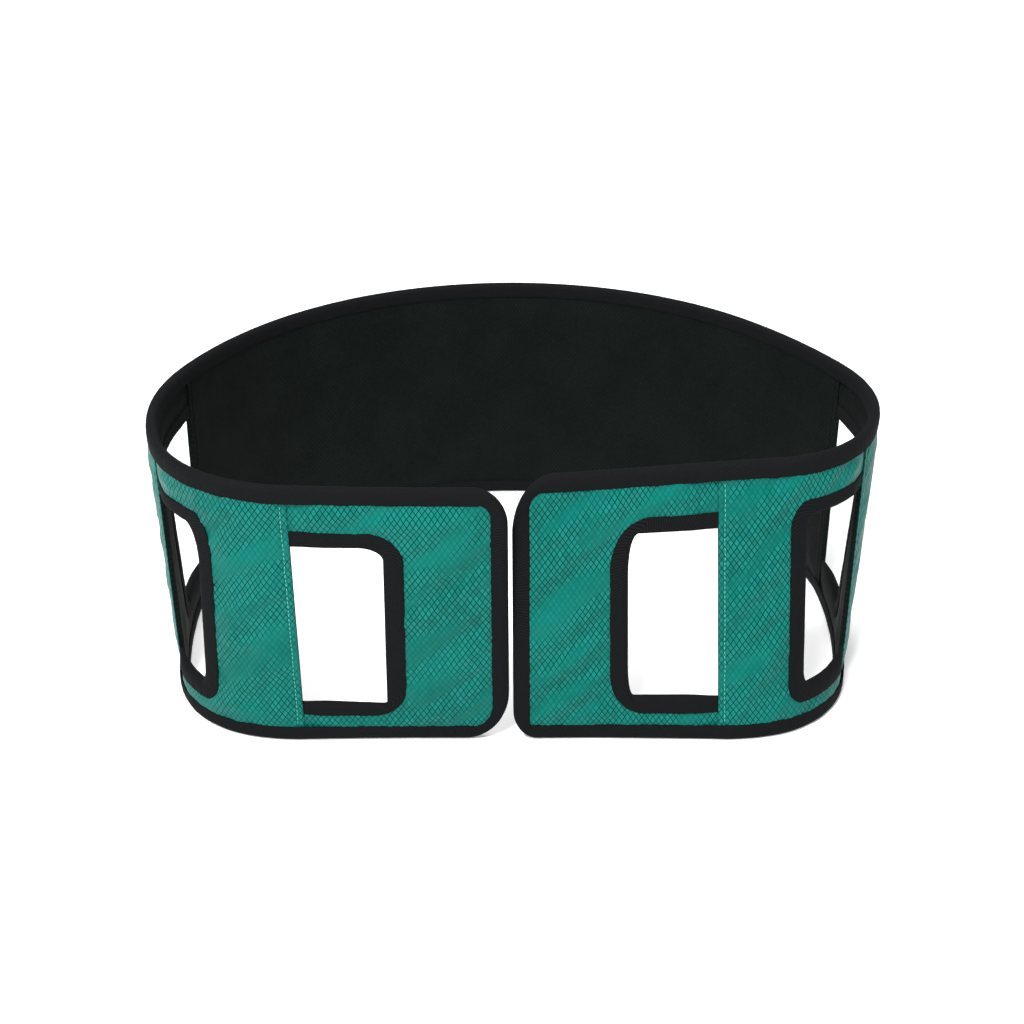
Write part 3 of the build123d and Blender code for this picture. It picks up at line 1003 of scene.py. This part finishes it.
def look_from(location, pitch, lens):
    """Camera at the reference viewing angle."""
    data = bpy.data.cameras.new("camera")
    data.lens = lens
    data.sensor_width = 36
    camera = bpy.data.objects.new("camera", data)
    camera.location = location
    camera.rotation_euler = (math.radians(90 - pitch), 0, 0)
    bpy.context.scene.collection.objects.link(camera)
    bpy.context.scene.camera = camera


def soft_light(name, location, target, size, power):
    """Large square lamp that points at a target."""
    data = bpy.data.lights.new(name, "AREA")
    data.shape = "SQUARE"
    data.size = size
    data.energy = power
    lamp = bpy.data.objects.new(name, data)
    lamp.location = location
    lamp.rotation_euler = (Vector(target) - Vector(location)).to_track_quat("-Z", "Y").to_euler()
    bpy.context.scene.collection.objects.link(lamp)


def pale_floor():
    """Round pale floor under the belt, which glows far from it like a lit backdrop."""
    n = Nodes("pale_floor")
    speck = n.tree.nodes.new("ShaderNodeTexNoise")
    speck.inputs["Scale"].default_value = 30
    shade = n.mix(speck.outputs["Fac"], (0.88, 0.88, 0.88), (0.9, 0.9, 0.9))
    where = n.tree.nodes.new("ShaderNodeTexCoord")
    distance = n.tree.nodes.new("ShaderNodeVectorMath")
    distance.operation = "LENGTH"
    n.feed(distance.inputs[0], where.outputs["Object"])
    glow = n.ramp(distance.outputs["Value"], GLOW_START, GLOW_FULL, to_low=GLOW_LEAST)
    n.feed(n.shader.inputs["Emission Strength"], glow)
    n.feed(n.shader.inputs["Emission Color"], (1, 1, 1, 1))
    n.finish(shade, roughness=0.8, specular=0.2)
    turns = np.linspace(0, 2 * math.pi, FLOOR_SIDES, endpoint=False)
    rim = [(FLOOR_RADIUS * math.cos(a), FLOOR_RADIUS * math.sin(a), -FLOOR_DROP) for a in turns]
    mesh = bpy.data.meshes.new("floor")
    mesh.from_pydata(rim, [], [list(range(FLOOR_SIDES))])
    mesh.materials.append(n.material)
    floor = bpy.data.objects.new("floor", mesh)
    bpy.context.scene.collection.objects.link(floor)


def surround():
    """Grey sky that brightens to white at the horizon."""
    world = bpy.data.worlds.new("surround")
    world.use_nodes = True
    tree = world.node_tree
    direction = tree.nodes.new("ShaderNodeTexCoord")
    split = tree.nodes.new("ShaderNodeSeparateXYZ")
    tree.links.new(direction.outputs["Generated"], split.inputs[0])
    level = tree.nodes.new("ShaderNodeMapRange")
    tree.links.new(split.outputs[2], level.inputs["Value"])
    limits = {"From Min": 0.12, "From Max": 0.4, "To Min": 1.0, "To Max": SKY}
    for name, value in limits.items():
        level.inputs[name].default_value = value
    tree.links.new(level.outputs[0], tree.nodes["Background"].inputs["Strength"])
    tree.nodes["Background"].inputs["Color"].default_value = (1, 1, 1, 1)
    bpy.context.scene.world = world


def studio():
    """Camera, floor, lamps and a bright surround."""
    look_from(location=(-0.00215, -0.9975, 0.648), pitch=29.7, lens=51.43)
    pale_floor()
    front = (0, -0.1, 0.1)
    soft_light("overhead", (0, 0.1, 2.3), target=(0, 0.1, 0), size=1.5, power=46)
    soft_light("key", (-0.6, -1.3, 2.1), target=front, size=0.6, power=78)
    soft_light("fill", (1.7, -1.5, 0.9), target=front, size=1.2, power=3)
    surround()
    bpy.context.scene.view_settings.view_transform = "Standard"


PANELS = all_panels()
studio()
CLOTHS = {"shell": ripstop(), "pad": padding(), "lining": mesh_lining()}
TAPE_CLOTH = binding_tape()
THREADS = {
    "green": thread("light_green_thread", (0.05, 0.33, 0.25), (0.12, 0.5, 0.4), shine=0.5),
    "black": thread("black_thread", (0.003, 0.0035, 0.0035), (0.006, 0.007, 0.0065), shine=0.03),
}
for panel in PANELS:
    cloth_layers(panel, CLOTHS)
    panel_tapes(panel, TAPE_CLOTH)
    panel_stitching(panel, THREADS)
